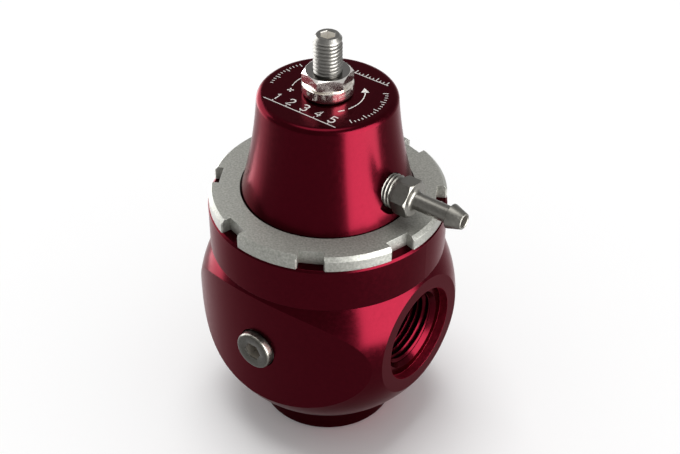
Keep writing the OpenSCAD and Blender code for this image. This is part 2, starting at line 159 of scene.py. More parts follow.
# Ticks and gaps, a digit's middle as a share of its height, and the rules' half lengths in digit pitches
TICK = 0.8 * MM
LONG_TICK = 1.5 * MM
DIGIT_MIDDLE = 0.3
DIGIT_GAP = 1.2 * MM
DIGIT_TICK = 0.7 * MM
BACK_TICK = 0.9 * MM
LONG_BACK_TICK = 1.6 * MM
FRONT_REACH = 2.6
BACK_REACH = 2.4
BACK_TICKS = 9
BACK_TICKS_TO_LONG = 3
BACK_TICKS_TO_PITCH = 4

# Light panels: turn from the camera in degrees, then distance, middle height, width and height in mm
CARDS = {
    "right_card": (51, 170, 126, 172, 246),
    "left_card": (-125.2, 150, 119.5, 150, 171),
    "low_card": (-107.2, 97, 36.5, 55, 25),
}
FLOOR_HALF = 6.0
FLOOR_DROP = 0.05 * MM
FLOOR_ROUGHNESS = 0.9
SUN_TURN = -150
SUN_LEAN = 0.15
SUN_DEGREES = 35
SENSOR_WIDTH = 36
CLIP_START = 0.01

# Strokes of the digits, in a box one high
DIGITS = {
    "1": [[(0.12, 0.8), (0.36, 1.0), (0.36, 0.0)]],
    "2": [[(0.0, 0.8), (0.14, 1.0), (0.46, 1.0), (0.6, 0.82), (0.56, 0.6), (0.0, 0.0), (0.62, 0.0)]],
    "3": [
        [(0.0, 0.88), (0.14, 1.0), (0.46, 1.0), (0.6, 0.86), (0.58, 0.64), (0.44, 0.54), (0.22, 0.54)],
        [(0.44, 0.54), (0.6, 0.42), (0.62, 0.14), (0.46, 0.0), (0.14, 0.0), (0.0, 0.12)],
    ],
    "4": [[(0.46, 0.0), (0.46, 1.0), (0.0, 0.3), (0.64, 0.3)]],
    "5": [
        [(0.58, 1.0), (0.08, 1.0), (0.04, 0.54), (0.38, 0.6), (0.6, 0.44), (0.6, 0.16), (0.44, 0.0)],
        [(0.44, 0.0), (0.12, 0.0), (0.0, 0.12)],
    ],
}


def length(name, description, millimetres):
    """A length setting, given in millimetres."""
    return bpy.props.FloatProperty(
        name=name, description=description, default=millimetres * MM, min=0, unit="LENGTH", precision=5,
    )


def angle(name, description, degrees):
    """An angle setting, given in degrees."""
    return bpy.props.FloatProperty(
        name=name, description=description, default=math.radians(degrees), subtype="ANGLE",
    )


def colour(name, description, red, green, blue):
    """A colour setting."""
    return bpy.props.FloatVectorProperty(
        name=name, description=description, default=(red, green, blue, 1), size=4, min=0, max=1,
        subtype="COLOR",
    )


def level(name, description, value):
    """A plain number setting."""
    return bpy.props.FloatProperty(name=name, description=description, default=value, min=0)


class FinishSettings(bpy.types.PropertyGroup):
    """Colours and gloss of the finishes."""

    red: colour("Red", "Anodised red of body and bonnet", 0.038, 0.0019, 0.0046)
    red_edge: colour("Red edge", "Tint of the anodised red at a grazing view", 0.78, 0.59, 0.605)
    # Painted reflected light: times that the colour is raised on the side ports' spot walls
    wall_light_gain: level("Wall light gain", "Times that the side ports' spot walls outshine the skin", 3.6)
    wall_roughness: level("Wall roughness", "Times that the spot walls are rougher than the skin", 2)
    wall_radius: length("Wall radius", "Radius of the spot walls of the side ports", 14.36)
    red_roughness: level("Red roughness", "Middle roughness of the anodised red", 0.23)
    silver: colour("Silver", "Middle colour of the lock ring", 0.265, 0.265, 0.238)
    stainless: colour("Stainless", "Colour of the nut and the washer", 0.78, 0.75, 0.71)
    # Painted shade: share of its colour that the nut's top face keeps
    top_shade_share: level("Top shade share", "Share of its colour that the nut's faced top keeps", 0.22)
    stud: colour("Stud", "Colour of the adjusting stud", 0.165, 0.16, 0.149)
    steel: colour("Fitting steel", "Colour of the hose fitting", 0.125, 0.12, 0.108)
    # The plug's colour is raised so that its rim carries a painted highlight
    plug: colour("Plug", "Colour of the gauge port's plug", 0.13, 0.124, 0.11)
    # Painted highlight: the plug's front keeps this share, so the rim is lighter
    plug_highlight_share: level("Plug highlight share", "Share of its colour that the plug's faced front keeps", 0.48)
    socket: colour("Socket", "Colour inside the plug's socket and the bore", 0.24, 0.215, 0.18)
    # Painted light: a near-white colour inside the stud's socket
    key_hole_light: colour("Key hole light", "Colour inside the stud's socket", 0.85, 0.82, 0.76)
    mark: colour("Mark", "Colour of the etched marks", 0.6, 0.58, 0.56)
    alloy: colour("Alloy", "Colour of the plates and the seat", 0.5, 0.5, 0.51)
    wire: colour("Wire", "Colour of the spring", 0.25, 0.25, 0.26)
    rubber: colour("Rubber", "Colour of the seals", 0.02, 0.02, 0.02)


class ThreadSettings(bpy.types.PropertyGroup):
    """Pitches and depths of the cut threads."""

    port_pitch: length("Port pitch", "Pitch of the port threads", INCH_IN_MM / 14)
    port_depth: length("Port depth", "Depth of the port threads", 0.98)
    stud_pitch: length("Stud pitch", "Pitch of the stud and the hose fitting", INCH_IN_MM / 24)
    stud_depth: length("Stud depth", "Depth of the stud and fitting threads", 0.45)
    plug_pitch: length("Plug pitch", "Pitch of the plug's thread", INCH_IN_MM / 27)
    plug_depth: length("Plug depth", "Depth of the plug's thread", 0.5)


class StudSettings(bpy.types.PropertyGroup):
    """Sizes of the adjusting stud."""

    socket_across: length("Socket", "Hexagon socket across its flats", 3.7)
    socket_depth: length("Socket depth", "Depth of the hexagon socket", 5)
    socket_turn: angle("Socket turn", "Turn of a socket corner from the front", 37)
    land: length("Land", "Plain length above the thread", 1.35)
    top_chamfer: length("Top chamfer", "Inset of the top face from the land", 0.72)


class FittingSettings(bpy.types.PropertyGroup):
    """Sizes of the barbed hose fitting."""

    thread_length: length("Thread", "Length behind the hexagon", 6.5)
    thread_radius: length("Thread radius", "Crest radius of the thread", 4.76)
    hex_length: length("Hexagon length", "Length of the hexagon", 4.8)
    hex_across: length("Hexagon", "Hexagon across its flats", 9.6)
    hex_turn: angle("Hexagon turn", "Turn of a corner from below", 20)
    hex_chamfer: length("Hexagon chamfer", "Length of the chamfer at each end", 0.5)
    tube_radius: length("Tube radius", "Radius of the tube", 2.4)
    fillet: length("Fillet", "Fillet at the tube's root", 1)
    barb_radius: length("Barb radius", "Widest radius of the barb", 3.45)
    barb_length: length("Barb length", "Length of the barb", 4.3)
    tip_radius: length("Tip radius", "Radius of the tip", 2.3)
    bore_radius: length("Bore radius", "Radius of the bore", 1.7)


class PlugSettings(bpy.types.PropertyGroup):
    """Sizes of the gauge port's plug."""

    head: length("Head", "Length of the plain rim", 2.4)
    rounding: length("Rounding", "Rounding of the rim's front edge", 0.9)
    socket_across: length("Socket", "Hexagon socket across its flats", 4.8)
    socket_depth: length("Socket depth", "Depth of the hexagon socket", 4.5)
    sink_radius: length("Sink radius", "Radius of the sink round the socket", 3.5)


class SpringSettings(bpy.types.PropertyGroup):
    """Sizes of the main spring."""

    wire: length("Wire", "Diameter of the wire", 3)
    turns: level("Turns", "Turns of the spring", 6)
    ground: level("Ground", "Share of the wire left below its middle at the ends", 0.3)
    closed: level("Closed", "Rise of each end turn as a share of the wire", 0.75)


class MarkSettings(bpy.types.PropertyGroup):
    """Sizes of the etched marks on the bonnet."""

    line: length("Line", "Width of a line", 0.26)
    bold: length("Bold line", "Width of a digit's line", 0.42)
    thickness: length("Thickness", "Thickness of the marks, half of it proud", 0.04)
    arrow_radius: length("Arrow radius", "Radius of the turning arrows", 10)
    scale_radius: length("Scale radius", "Outer radius of the tick scales", 16.2)
    head_half: length("Arrow head", "Half the width of an arrow's head", 1.1)
    sign_half: length("Sign", "Half the width of the plus and the minus", 0.9)
    digit_height: length("Digit height", "Height of the digits", 2.7)
    digit_pitch: length("Digit pitch", "Distance between the digits", 4.6)
    front_rule: length("Front rule", "Digits' rule in front of the axis", 12.4)
    back_rule: length("Back rule", "Plain rule behind the axis", 12.2)


class StageSettings(bpy.types.PropertyGroup):
    """Camera, lamps and floor."""

    azimuth: angle("Azimuth", "Camera's turn from the front", 37.5)
    pitch: angle("Pitch", "Camera's downward tilt", 38.09)
    reach: length("Reach", "Camera's level distance from the axis", 294.8)
    height: length("Height", "Camera's height above the floor", 293.4)
    focal_px: level("Focal length", "Focal length in photograph pixels", 1300.1)
    axis_px: level("Axis column", "Photograph column of the object's axis", 327.76)
    floor: colour("Floor", "Colour of the floor", 0.97, 0.97, 0.97)
    sky: level("Sky", "Level of the even studio light", 0.6)
    sun: level("Overhead light", "Level of the soft overhead lamp", 1.43)
    right_card: level("Right card", "Level of the light panel at the right", 16.4)
    left_card: level("Left card", "Level of the light panel at the left", 5.92)
    low_card: level("Low card", "Level of the small light panel low at the left", 6.5)


def node_material(name):
    """A new material with its tree and shader."""
    material = bpy.data.materials.new(name)
    material.use_nodes = True
    tree = material.node_tree
    return material, tree, tree.nodes["Principled BSDF"]


def add_node(tree, kind, **settings):
    """A node with its properties set."""
    node = tree.nodes.new(kind)
    for key, value in settings.items():
        setattr(node, key, value)
    return node


def feed(tree, node, *values):
    """Give a node's inputs links or numbers, in order."""
    for place, value in enumerate(values):
        if isinstance(value, (int, float)):
            node.inputs[place].default_value = value
        else:
            tree.links.new(value, node.inputs[place])
    return node.outputs[0]


def maths(tree, operation, first, second):
    """A maths node on links or numbers."""
    return feed(tree, add_node(tree, "ShaderNodeMath", operation=operation), first, second)


def vector(tree, x=0.0, y=0.0, z=0.0):
    """A vector of links or numbers."""
    return feed(tree, add_node(tree, "ShaderNodeCombineXYZ"), x, y, z)


def turning_coordinates(tree):
    """Distance from the vertical axis and height, for marks of turning."""
    place = add_node(tree, "ShaderNodeTexCoord")
    split = add_node(tree, "ShaderNodeSeparateXYZ")
    tree.links.new(place.outputs["Object"], split.inputs[0])
    reach = add_node(tree, "ShaderNodeVectorMath", operation="LENGTH")
    tree.links.new(vector(tree, split.outputs["X"], split.outputs["Y"]), reach.inputs[0])
    return vector(tree, reach.outputs["Value"], 0.0, split.outputs["Z"])


def object_coordinates(tree):
    """Object coordinates."""
    return add_node(tree, "ShaderNodeTexCoord").outputs["Object"]


def noise(tree, where, scale, detail=3):
    """A noise pattern's factor."""
    pattern = add_node(tree, "ShaderNodeTexNoise")
    pattern.inputs["Scale"].default_value = scale
    pattern.inputs["Detail"].default_value = detail
    tree.links.new(where, pattern.inputs["Vector"])
    return pattern.outputs["Fac"]


def spread(tree, factor, low, high):
    """A value that runs from low to high with a noise factor."""
    remap = add_node(tree, "ShaderNodeMapRange")
    remap.inputs["From Min"].default_value = NOISE_LOW
    remap.inputs["From Max"].default_value = NOISE_HIGH
    remap.inputs["To Min"].default_value = low
    remap.inputs["To Max"].default_value = high
    tree.links.new(factor, remap.inputs["Value"])
    return remap.outputs["Result"]


def tint(tree, factor, base, change):
    """A colour that varies with a factor by a share of itself."""
    mix = add_node(tree, "ShaderNodeMix", data_type="RGBA")
    mix.inputs["A"].default_value = [channel * (1 - change) for channel in base[:3]] + [1]
    mix.inputs["B"].default_value = [min(1, channel * (1 + change)) for channel in base[:3]] + [1]
    tree.links.new(factor, mix.inputs["Factor"])
    return mix.outputs["Result"]


def relief(tree, shader, factor, depth, edge=0.0):
    """Relief of a real depth from a factor, over edges broken by a radius."""
    bump = add_node(tree, "ShaderNodeBump")
    bump.inputs["Strength"].default_value = 1
    bump.inputs["Distance"].default_value = depth
    tree.links.new(factor, bump.inputs["Height"])
    if edge:
        broken = add_node(tree, "ShaderNodeBevel", samples=6)
        broken.inputs["Radius"].default_value = edge
        tree.links.new(broken.outputs["Normal"], bump.inputs["Normal"])
    tree.links.new(bump.outputs["Normal"], shader.inputs["Normal"])


def metal(
    name, base, roughness, change, turned_microns, speck_scale,
    share=1.0, edge=(1, 1, 1, 1), broken=0.12 * MM,
):
    """Metal with colour specks, uneven gloss, fine marks of turning and edges broken by a radius.

    The share of metal is below one for a blasted skin, and the edge tints a grazing view."""
    material, tree, shader = node_material(name)
    specks = noise(tree, object_coordinates(tree), speck_scale)
    tree.links.new(tint(tree, spread(tree, specks, 0, 1), base, change), shader.inputs["Base Color"])
    gloss = spread(tree, specks, roughness * (1 - GLOSS_CHANGE), roughness * (1 + GLOSS_CHANGE))
    tree.links.new(gloss, shader.inputs["Roughness"])
    shader.inputs["Metallic"].default_value = share
    shader.inputs["Specular Tint"].default_value = edge
    lines = noise(tree, turning_coordinates(tree), TURNED_SCALE, 2)
    relief(tree, shader, lines, turned_microns * MICRON, broken)
    material.diffuse_color = base
    return material


def scale_finish(material, mask, colour_times, roughness_times=1.0):
    """Multiply a finish's colour and roughness where a mask is one."""
    tree = material.node_tree
    shader = tree.nodes["Principled BSDF"]
    skin = shader.inputs["Base Color"].links[0].from_socket
    scaled = add_node(tree, "ShaderNodeVectorMath", operation="SCALE")
    tree.links.new(skin, scaled.inputs[0])
    factor = maths(tree, "ADD", maths(tree, "MULTIPLY", mask, colour_times - 1), 1.0)
    tree.links.new(factor, scaled.inputs["Scale"])
    tree.links.new(scaled.outputs["Vector"], shader.inputs["Base Color"])
    gloss = shader.inputs["Roughness"].links[0].from_socket
    factor = maths(tree, "ADD", maths(tree, "MULTIPLY", mask, roughness_times - 1), 1.0)
    tree.links.new(maths(tree, "MULTIPLY", gloss, factor), shader.inputs["Roughness"])


def painted_light_walls(material, reach, gain, roughness_gain):
    """Make a finish brighter and rougher on the side ports' spot walls: the brighter colour is painted
    reflected light in the recess, the roughness is the tool's.
    """
    tree = material.node_tree
    split = add_node(tree, "ShaderNodeSeparateXYZ")
    tree.links.new(object_coordinates(tree), split.inputs[0])
    rise = maths(tree, "SUBTRACT", split.outputs["Z"], MOUNTS["inlet_port"]["pos_m"][2])
    out = add_node(tree, "ShaderNodeVectorMath", operation="LENGTH")
    tree.links.new(vector(tree, 0.0, split.outputs["Y"], rise), out.inputs[0])
    offset = maths(tree, "ABSOLUTE", maths(tree, "SUBTRACT", out.outputs["Value"], reach), 0.0)
    # Mask of the spot walls, where the painted reflected light goes
    wall = maths(tree, "LESS_THAN", offset, WALL_TOLERANCE)
    scale_finish(material, wall, gain, roughness_gain)


def paint_facing_shade(material, axis, limit, share):
    """Lower a finish's colour on faces that look along an axis: painted shade on the nut's top, and on
    the plug a dim front beside a rim whose lighter colour is a painted highlight.
    """
    tree = material.node_tree
    along_axis = add_node(tree, "ShaderNodeVectorMath", operation="DOT_PRODUCT")
    tree.links.new(add_node(tree, "ShaderNodeTexCoord").outputs["Normal"], along_axis.inputs[0])
    along_axis.inputs[1].default_value = axis
    scale_finish(material, maths(tree, "GREATER_THAN", along_axis.outputs["Value"], limit), share)


def matt(name, base, grain_scale, change, smoothest, roughest, depth=0.0):
    """A dull finish with a grain in its colour and gloss, and in its relief where it has a depth."""
    material, tree, shader = node_material(name)
    grain = noise(tree, object_coordinates(tree), grain_scale)
    tree.links.new(tint(tree, grain, base, change), shader.inputs["Base Color"])
    tree.links.new(spread(tree, grain, smoothest, roughest), shader.inputs["Roughness"])
    if depth:
        relief(tree, shader, grain, depth)
    return material


def etched(name, base):
    """A pale, matt and slightly uneven finish."""
    return matt(name, base, 6000, 0.15, 0.5, 0.7)


def finishes():
    """Every finish by slot name, made once."""
    if FINISHES:
        return FINISHES
    look = bpy.context.scene.regulator_finish
    # A metal's colour, roughness, change of colour, depth of turning in microns and scale of specks
    FINISHES.update({
        "red_anodised": metal(
            "satin red", look.red, look.red_roughness, 0.06, 1, 900, edge=look.red_edge,
        ),
        "ring_silver": metal("matt silver", look.silver, 0.4, 0.24, 3, 1700, share=0.36),
        "stainless": metal("bright stainless", look.stainless, 0.2, 0.03, 0.3, 1500, broken=0),
        # A copy of the stainless whose top faces carry painted shade
        "top_shaded_stainless": metal("top shaded stainless", look.stainless, 0.165, 0.03, 0.3, 1500, broken=0),
        "stud_steel": metal("threaded steel", look.stud, 0.34, 0.06, 0.8, 1500, broken=0),
        "fitting_steel": metal("dark steel", look.steel, 0.36, 0.12, 1, 1400),
        "plate_alloy": metal("plain alloy", look.alloy, 0.35, 0.08, 4, 900),
        "spring_steel": metal("drawn wire", look.wire, 0.35, 0.1, 3, 1200),
        "seal_rubber": matt("black rubber", look.rubber, 2500, 0.4, 0.55, 0.75, 30 * MICRON),
        "etched_mark": etched("etched mark", look.mark),
        "plug_steel": metal("oiled steel", look.plug, 0.3, 0.12, 1, 1400),
        "broached": etched("broached socket", look.socket),
        # Painted light inside the stud's socket
        "painted_light_socket": etched("painted light socket", look.key_hole_light),
    })
    # Painted reflected light on the side ports' spot walls, with a rougher skin there
    painted_light_walls(FINISHES["red_anodised"], look.wall_radius, look.wall_light_gain, look.wall_roughness)
    # Painted shade on the nut's top face
    paint_facing_shade(FINISHES["top_shaded_stainless"], (0, 0, 1), NUT_SHADE_FACING, look.top_shade_share)
    # Painted highlight on the plug's rim, beside its dimmer front
    paint_facing_shade(FINISHES["plug_steel"], (0, -1, 0), PLUG_HIGHLIGHT_FACING, look.plug_highlight_share)
    return FINISHES


def finish_nodes(*names, finish=None):
    """Give CAD nodes a finish, or else the finish of their slot."""
    for name in names:
        mesh = NODES[name].data
        mesh.materials.clear()
        mesh.materials.append(finishes()[finish or SLOT_OF[name]])


def add_piece(name, mesh, finish, node, stands_for=False, rides=True, socket=None):
    """Make a piece of a mesh with a given finish, and put it on a CAD node's body if it rides."""
    mesh.name = name
    if not mesh.materials:
        mesh.materials.append(finishes()[finish])
    if socket:
        mesh.materials.append(finishes()[socket])
    piece = bpy.data.objects.new(name, mesh)
    bpy.context.scene.collection.objects.link(piece)
    if rides:
        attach(piece, BODY_OF[node])
    if stands_for:
        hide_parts(node)
    return piece


def shaded(mesh):
    """Smooth shading with sharp edges, and faces that point outward."""
    shape = bmesh.new()
    shape.from_mesh(mesh)
    if shape.calc_volume(signed=True) < 0:
        bmesh.ops.reverse_faces(shape, faces=shape.faces)
    shape.to_mesh(mesh)
    shape.free()
    mesh.shade_smooth()
    mesh.set_sharp_from_angle(angle=math.radians(SHARP_DEGREES))
    return mesh


def hexagon(across, turn):
    """Radius of a hexagon as a function of the angle, with a corner at its turn."""
    side = math.pi / 3
    return lambda a: across / 2 / math.cos((a - turn) % side - side / 2)


def within(outline, limit):
    """An outline's radius, held inside a limit."""
    return lambda a: min(outline(a), limit)


def turned(rows, steps=120, loop=False, socket_rows=0):
    """A closed mesh of rows (radius, height) round +Z, where a radius may depend on the angle.

    The faces between the last rows, as many as socket_rows, take the second finish."""
    points = []
    rings = []
    for radius, height in rows:
        if radius == 0:
            rings.append([len(points)])
            points.append((0, 0, height))
            continue
        rings.append(list(range(len(points), len(points) + steps)))
        for step in range(steps):
            a = 2 * math.pi * step / steps
            reach = radius(a) if callable(radius) else radius
            points.append((reach * math.cos(a), reach * math.sin(a), height))
    faces = []
    pairs = list(zip(rings, rings[1:]))
    if loop:
        pairs.append((rings[-1], rings[0]))
    for low, high in pairs:
        for step in range(steps):
            after = (step + 1) % steps
            if len(low) == 1:
                faces.append((low[0], high[after], high[step]))
            elif len(high) == 1:
                faces.append((low[step], low[after], high[0]))
            else:
                faces.append((low[step], low[after], high[after], high[step]))
    mesh = bpy.data.meshes.new("turned")
    mesh.from_pydata(points, [], faces)
    for face in mesh.polygons[len(faces) - socket_rows * steps:]:
        face.material_index = 1
    return shaded(mesh)


def chamfered_hexagon(across, turn, low, high, chamfer):
    """Rows of a hexagon prism whose corners are cut by a cone at each end."""
    outline = hexagon(across, turn)
    inner = across / 2 - HEX_INSET
    corner = across / 2 / math.cos(math.pi / 6)
    cone = []
    for step in range(CHAMFER_STEPS + 1):
        share = step / CHAMFER_STEPS
        cone.append((within(outline, inner + (corner - inner) * share), chamfer * share))
    rows = [(radius, low + rise) for radius, rise in cone]
    rows += [(radius, high - rise) for radius, rise in reversed(cone)]
    return rows


def along(origin, direction):
    """The matrix that stands a +Z mesh at a place, along a direction."""
    turn = Vector((0, 0, 1)).rotation_difference(Vector(direction))
    return Matrix.Translation(Vector(origin)) @ turn.to_matrix().to_4x4()


def placed(mesh, matrix):
    """A mesh moved to its place."""
    mesh.transform(matrix)
    return mesh


def group_tree(name, inputs):
    """A new geometry node group with named inputs and a geometry output."""
    tree = bpy.data.node_groups.new(name, "GeometryNodeTree")
    for label, kind in inputs.items():
        tree.interface.new_socket(label, in_out="INPUT", socket_type="NodeSocket" + kind)
    tree.interface.new_socket("Geometry", in_out="OUTPUT", socket_type="NodeSocketGeometry")
    return tree, add_node(tree, "NodeGroupInput").outputs


def end_sweep(tree, curve, section, finish, size=None):
    """Sweep a section along a curve, paint the result and put it out."""
    sweep = add_node(tree, "GeometryNodeCurveToMesh")
    sweep.inputs["Fill Caps"].default_value = True
    tree.links.new(curve, sweep.inputs["Curve"])
    tree.links.new(section.outputs["Curve"], sweep.inputs["Profile Curve"])
    if size:
        tree.links.new(size, sweep.inputs["Scale"])
    paint = add_node(tree, "GeometryNodeSetMaterial")
    tree.links.new(sweep.outputs["Mesh"], paint.inputs["Geometry"])
    tree.links.new(finish, paint.inputs["Material"])
    result = add_node(tree, "NodeGroupOutput")
    tree.links.new(paint.outputs["Geometry"], result.inputs["Geometry"])
    return tree


def thread_tree():
    """Geometry nodes: a thread's ridge swept along a helix, fading out at both ends."""
    if "helical_thread" in bpy.data.node_groups:
        return bpy.data.node_groups["helical_thread"]
    inputs = {
        "Radius": "Float", "Pitch": "Float", "Turns": "Float", "Depth": "Float", "Fade turns": "Float",
        "Steps": "Int", "Finish": "Material",
    }
    tree, given = group_tree("helical_thread", inputs)
    helix = add_node(tree, "GeometryNodeCurveSpiral")
    helix.inputs["Reverse"].default_value = True
    tree.links.new(given["Steps"], helix.inputs["Resolution"])
    tree.links.new(given["Turns"], helix.inputs["Rotations"])
    tree.links.new(given["Radius"], helix.inputs["Start Radius"])
    tree.links.new(given["Radius"], helix.inputs["End Radius"])
    tree.links.new(maths(tree, "MULTIPLY", given["Pitch"], given["Turns"]), helix.inputs["Height"])
    upright = add_node(tree, "GeometryNodeSetCurveNormal", mode="Z_UP")
    tree.links.new(helix.outputs["Curve"], upright.inputs["Curve"])
    section = add_node(tree, "GeometryNodeCurvePrimitiveQuadrilateral", mode="POINTS")
    root = maths(tree, "MULTIPLY", given["Pitch"], ROOT_SHARE)
    crest = maths(tree, "MULTIPLY", given["Pitch"], CREST_SHARE)
    sunk = maths(tree, "MULTIPLY", given["Depth"], -SUNK_SHARE)
    depth = given["Depth"]
    corners = ((sunk, root, 1), (depth, crest, 1), (depth, crest, -1), (sunk, root, -1))
    for place, (outward, half, side) in enumerate(corners, 1):
        corner = vector(tree, outward, maths(tree, "MULTIPLY", half, side))
        tree.links.new(corner, section.inputs[f"Point {place}"])
    share = add_node(tree, "GeometryNodeSplineParameter").outputs["Factor"]
    near_end = maths(tree, "MINIMUM", share, maths(tree, "SUBTRACT", 1.0, share))
    turns_in = maths(tree, "MULTIPLY", near_end, given["Turns"])
    fade = maths(tree, "DIVIDE", turns_in, given["Fade turns"])
    size = maths(tree, "MAXIMUM", maths(tree, "MINIMUM", fade, 1.0), THINNEST)
    return end_sweep(tree, upright.outputs["Curve"], section, given["Finish"], size)


def ribbon_tree():
    """Geometry nodes: flat ribbons along the edges of a drawing."""
    if "etched_ribbon" in bpy.data.node_groups:
        return bpy.data.node_groups["etched_ribbon"]
    inputs = {"Drawing": "Geometry", "Width": "Float", "Thickness": "Float", "Finish": "Material"}
    tree, given = group_tree("etched_ribbon", inputs)
    line = add_node(tree, "GeometryNodeMeshToCurve")
    tree.links.new(given["Drawing"], line.inputs["Mesh"])
    level_line = add_node(tree, "GeometryNodeSetCurveNormal", mode="Z_UP")
    tree.links.new(line.outputs["Curve"], level_line.inputs["Curve"])
    section = add_node(tree, "GeometryNodeCurvePrimitiveQuadrilateral", mode="RECTANGLE")
    tree.links.new(given["Width"], section.inputs["Width"])
    tree.links.new(given["Thickness"], section.inputs["Height"])
    return end_sweep(tree, level_line.outputs["Curve"], section, given["Finish"])


def wire_tree():
    """Geometry nodes: a round wire along the edges of a drawing."""
    if "round_wire" in bpy.data.node_groups:
        return bpy.data.node_groups["round_wire"]
    inputs = {"Drawing": "Geometry", "Diameter": "Float", "Sides": "Int", "Finish": "Material"}
    tree, given = group_tree("round_wire", inputs)
    line = add_node(tree, "GeometryNodeMeshToCurve")
    tree.links.new(given["Drawing"], line.inputs["Mesh"])
    section = add_node(tree, "GeometryNodeCurvePrimitiveCircle", mode="RADIUS")
    tree.links.new(given["Sides"], section.inputs["Resolution"])
    tree.links.new(maths(tree, "MULTIPLY", given["Diameter"], 0.5), section.inputs["Radius"])
    return end_sweep(tree, line.outputs["Curve"], section, given["Finish"])


def drawing(lines):
    """A mesh of edges along lines of points."""
    points = []
    edges = []
    for line in lines:
        edges += [(len(points) + step, len(points) + step + 1) for step in range(len(line) - 1)]
        points += line
    mesh = bpy.data.meshes.new("drawing")
    mesh.from_pydata(points, edges, [])
    return mesh


def grow(tree, values, start=None):
    """Run a node group with named inputs and return the plain mesh."""
    source = bpy.data.objects.new("source", start or bpy.data.meshes.new("source"))
    bpy.context.scene.collection.objects.link(source)
    modifier = source.modifiers.new("grow", "NODES")
    modifier.node_group = tree
    for item in tree.interface.items_tree:
        if item.in_out == "INPUT" and item.name in values:
            modifier[item.identifier] = values[item.name]
    graph = bpy.context.evaluated_depsgraph_get()
    mesh = bpy.data.meshes.new_from_object(source.evaluated_get(graph), depsgraph=graph)
    bpy.data.objects.remove(source)
    if not mesh.polygons:
        raise RuntimeError(f"{tree.name} made no faces")
    return mesh


def cut_thread(radius, pitch, depth, reach, finish, place):
    """A helical ridge along a reach, stood at a place."""
    values = {
        "Radius": radius, "Pitch": pitch, "Turns": reach / pitch, "Depth": depth,
        "Fade turns": FADE_TURNS, "Steps": THREAD_STEPS, "Finish": finishes()[finish],
    }
    return shaded(placed(grow(thread_tree(), values), place))


def merged(meshes):
    """Several meshes in one."""
    shape = bmesh.new()
    for mesh in meshes:
        shape.from_mesh(mesh)
    whole = bpy.data.meshes.new("merged")
    shape.to_mesh(whole)
    shape.free()
    return whole


def flat_plate(corners, low, high):
    """A flat plate with an outline that turns counter-clockwise."""
    count = len(corners)
    points = [(x, y, low) for x, y in corners] + [(x, y, high) for x, y in corners]
    faces = [tuple(range(count))[::-1], tuple(range(count, 2 * count))]
    for step in range(count):
        after = (step + 1) % count
        faces.append((step, after, count + after, count + step))
    mesh = bpy.data.meshes.new("plate")
    mesh.from_pydata(points, [], faces)
    return mesh


def polar(radius, degrees, height=0.0):
    """A point at a radius and an angle round the vertical axis."""
    turn = math.radians(degrees)
    return (radius * math.cos(turn), radius * math.sin(turn), height)


class REGULATOR_OT_body(bpy.types.Operator):
    """Finish the body and cut its port threads."""

    bl_idname = "regulator.body"
    bl_label = "Body"

    def execute(self, context):
        finish_nodes("body")
        cut = context.scene.regulator_threads
        for name in ("inlet_port", "outlet_port", "return_port"):
            mount = MOUNTS[name]
            radius = mount["dims"]["r_mm"] * MM
            reach = mount["dims"]["length_mm"] * MM
            out = Vector(mount["axis"])
            place = along(Vector(mount["pos_m"]) - out * reach / 2, out)
            ridge = cut_thread(radius, cut.port_pitch, -cut.port_depth, reach, "red_anodised", place)
            add_piece(name + "_thread", ridge, "red_anodised", "body")
        return {"FINISHED"}


def turning_arrow(mark, top, first, last, sign_at):
    """A turning arrow's line, its head's corners, and the strokes of a minus or of a plus."""
    step = (last - first) / ARROW_STEPS
    line = [polar(mark.arrow_radius, first + step * count, top) for count in range(ARROW_STEPS + 1)]
    toward = math.copysign(1, step)
    head = [polar(mark.arrow_radius, last + toward * HEAD_AHEAD)[:2]]
    for side in (1, -1):
        reach = mark.arrow_radius + side * mark.head_half
        head.append(polar(reach, last - toward * HEAD_BEHIND)[:2])
    middle = Vector(polar(mark.arrow_radius, sign_at, top))
    across = Vector(polar(mark.sign_half, sign_at + 90))
    strokes = [[middle - across, middle + across]]
    if toward < 0:
        outward = Vector(polar(mark.sign_half, sign_at))
        strokes.append([middle - outward, middle + outward])
    return line, head[::int(toward)], strokes


def tick_scale(mark, top, first, last):
    """Ticks along an arc, some of them long."""
    lines = []
    for count in range(int((last - first) / TICK_DEGREES) + 1):
        deep = TICK if count % TICKS_TO_LONG else LONG_TICK
        ends = (mark.scale_radius, mark.scale_radius - deep)
        lines.append([polar(radius, first + TICK_DEGREES * count, top) for radius in ends])
    return lines


def digit_rule(mark, top):
    """The front rule's thin lines, and the strokes of its digits."""
    rule = -mark.front_rule
    half = FRONT_REACH * mark.digit_pitch
    size = mark.digit_height
    thin = [[(-half, rule, top), (half, rule, top)]]
    bold = []
    for place, strokes in enumerate(DIGITS.values()):
        middle = (place - len(DIGITS) // 2) * mark.digit_pitch
        thin.append([(middle, rule, top), (middle, rule + DIGIT_TICK, top)])
        left = middle - DIGIT_MIDDLE * size
        low = rule + DIGIT_GAP
        bold += [[(left + x * size, low + y * size, top) for x, y in line] for line in strokes]
    return thin, bold


def plain_rule(mark, top):
    """The back rule and its ticks."""
    rule = mark.back_rule
    half = BACK_REACH * mark.digit_pitch
    lines = [[(-half, rule, top), (half, rule, top)]]
    for count in range(-BACK_TICKS, BACK_TICKS + 1):
        deep = BACK_TICK if count % BACK_TICKS_TO_LONG else LONG_BACK_TICK
        at = count * mark.digit_pitch / BACK_TICKS_TO_PITCH
        lines.append([(at, rule, top), (at, rule + deep, top)])
    return lines


